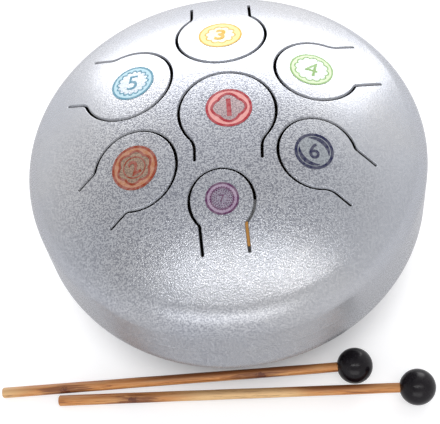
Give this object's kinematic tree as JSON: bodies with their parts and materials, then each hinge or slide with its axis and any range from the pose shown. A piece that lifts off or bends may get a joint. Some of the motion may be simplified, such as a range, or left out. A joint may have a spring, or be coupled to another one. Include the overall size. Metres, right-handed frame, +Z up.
{
  "type": "steel tongue drum",
  "caption": "Closed dished steel drum with keyhole tongues cut in its crown, printed discs, rubber feet and a pair of rubber-headed wooden mallets.",
  "frame": {"origin": "on the drum's axis, on the surface that the drum stands on", "axes": "+Z up along the drum's axis; -Y is the front, where the mallets lie; the mallets run along X with their balls towards +X"},
  "size_m": [0.2266, 0.2112, 0.1157],
  "materials": {
    "hammered_paint": "silver hammertone enamel on sheet steel",
    "print_red": "thin printed film",
    "print_orange": "thin printed film",
    "print_yellow": "thin printed film",
    "print_green": "thin printed film",
    "print_blue": "thin printed film",
    "print_indigo": "thin printed film",
    "print_violet": "thin printed film",
    "foot_rubber": "moulded matt",
    "adhesive_foam": "closed-cell foam tape",
    "stick_wood": "stained dowel, satin",
    "ball_rubber": "smooth moulded, soft gloss"
  },
  "bodies": {
    "drum": {"top_shell": "hammered_paint", "bottom_shell": "hammered_paint", "seam_weld": "hammered_paint", "foot_front": "foot_rubber", "foot_right": "foot_rubber", "foot_left": "foot_rubber", "pad_front": "adhesive_foam", "pad_right": "adhesive_foam", "pad_left": "adhesive_foam"},
    "tongue_1": {"tongue_1": "hammered_paint", "disc_1": "print_red"},
    "tongue_2": {"tongue_2": "hammered_paint", "disc_2": "print_orange"},
    "tongue_3": {"tongue_3": "hammered_paint", "disc_3": "print_yellow"},
    "tongue_4": {"tongue_4": "hammered_paint", "disc_4": "print_green"},
    "tongue_5": {"tongue_5": "hammered_paint", "disc_5": "print_blue"},
    "tongue_6": {"tongue_6": "hammered_paint", "disc_6": "print_indigo"},
    "tongue_7": {"tongue_7": "hammered_paint", "disc_7": "print_violet"},
    "rear_mallet": {"stick_rear": "stick_wood", "head_rear": "ball_rubber"},
    "front_mallet": {"stick_front": "stick_wood", "head_front": "ball_rubber"}
  },
  "joints": [
    {"name": "tongue_1_bend", "type": "hinge", "parent": "drum", "child": "tongue_1", "pos_m": [0.00384, -0.02624, 0.11275], "axis": [-0.9997, 0.0262, 0], "range_deg": [-0.5, 0.5], "stiffness_Nm_per_rad": 8},
    {"name": "tongue_2_bend", "type": "hinge", "parent": "drum", "child": "tongue_2", "pos_m": [-0.05977, -0.03985, 0.09954], "axis": [-0.6143, 0.7891, 0], "range_deg": [-0.5, 0.5], "stiffness_Nm_per_rad": 8},
    {"name": "tongue_3_bend", "type": "hinge", "parent": "drum", "child": "tongue_3", "pos_m": [0.00126, 0.0814, 0.09495], "axis": [0.999, 0.0436, 0], "range_deg": [-0.5, 0.5], "stiffness_Nm_per_rad": 8},
    {"name": "tongue_4_bend", "type": "hinge", "parent": "drum", "child": "tongue_4", "pos_m": [0.07241, 0.03473, 0.09551], "axis": [0.3387, -0.9409, 0], "range_deg": [-0.5, 0.5], "stiffness_Nm_per_rad": 8},
    {"name": "tongue_5_bend", "type": "hinge", "parent": "drum", "child": "tongue_5", "pos_m": [-0.06934, 0.03685, 0.09641], "axis": [0.3665, 0.9304, 0], "range_deg": [-0.5, 0.5], "stiffness_Nm_per_rad": 8},
    {"name": "tongue_6_bend", "type": "hinge", "parent": "drum", "child": "tongue_6", "pos_m": [0.06393, -0.03664, 0.09871], "axis": [-0.6184, -0.7859, 0], "range_deg": [-0.5, 0.5], "stiffness_Nm_per_rad": 8},
    {"name": "tongue_7_bend", "type": "hinge", "parent": "drum", "child": "tongue_7", "pos_m": [0.0004, -0.0694, 0.1006], "axis": [-0.9988, -0.0489, 0], "range_deg": [-0.5, 0.5], "stiffness_Nm_per_rad": 8},
    {"name": "rear_mallet_lift", "type": "slide", "parent": "drum", "child": "rear_mallet", "axis": [0, -0.342, 0.9397], "range_m": [0, 0.16]},
    {"name": "front_mallet_lift", "type": "slide", "parent": "drum", "child": "front_mallet", "axis": [0, -0.342, 0.9397], "range_m": [0, 0.16]}
  ]
}
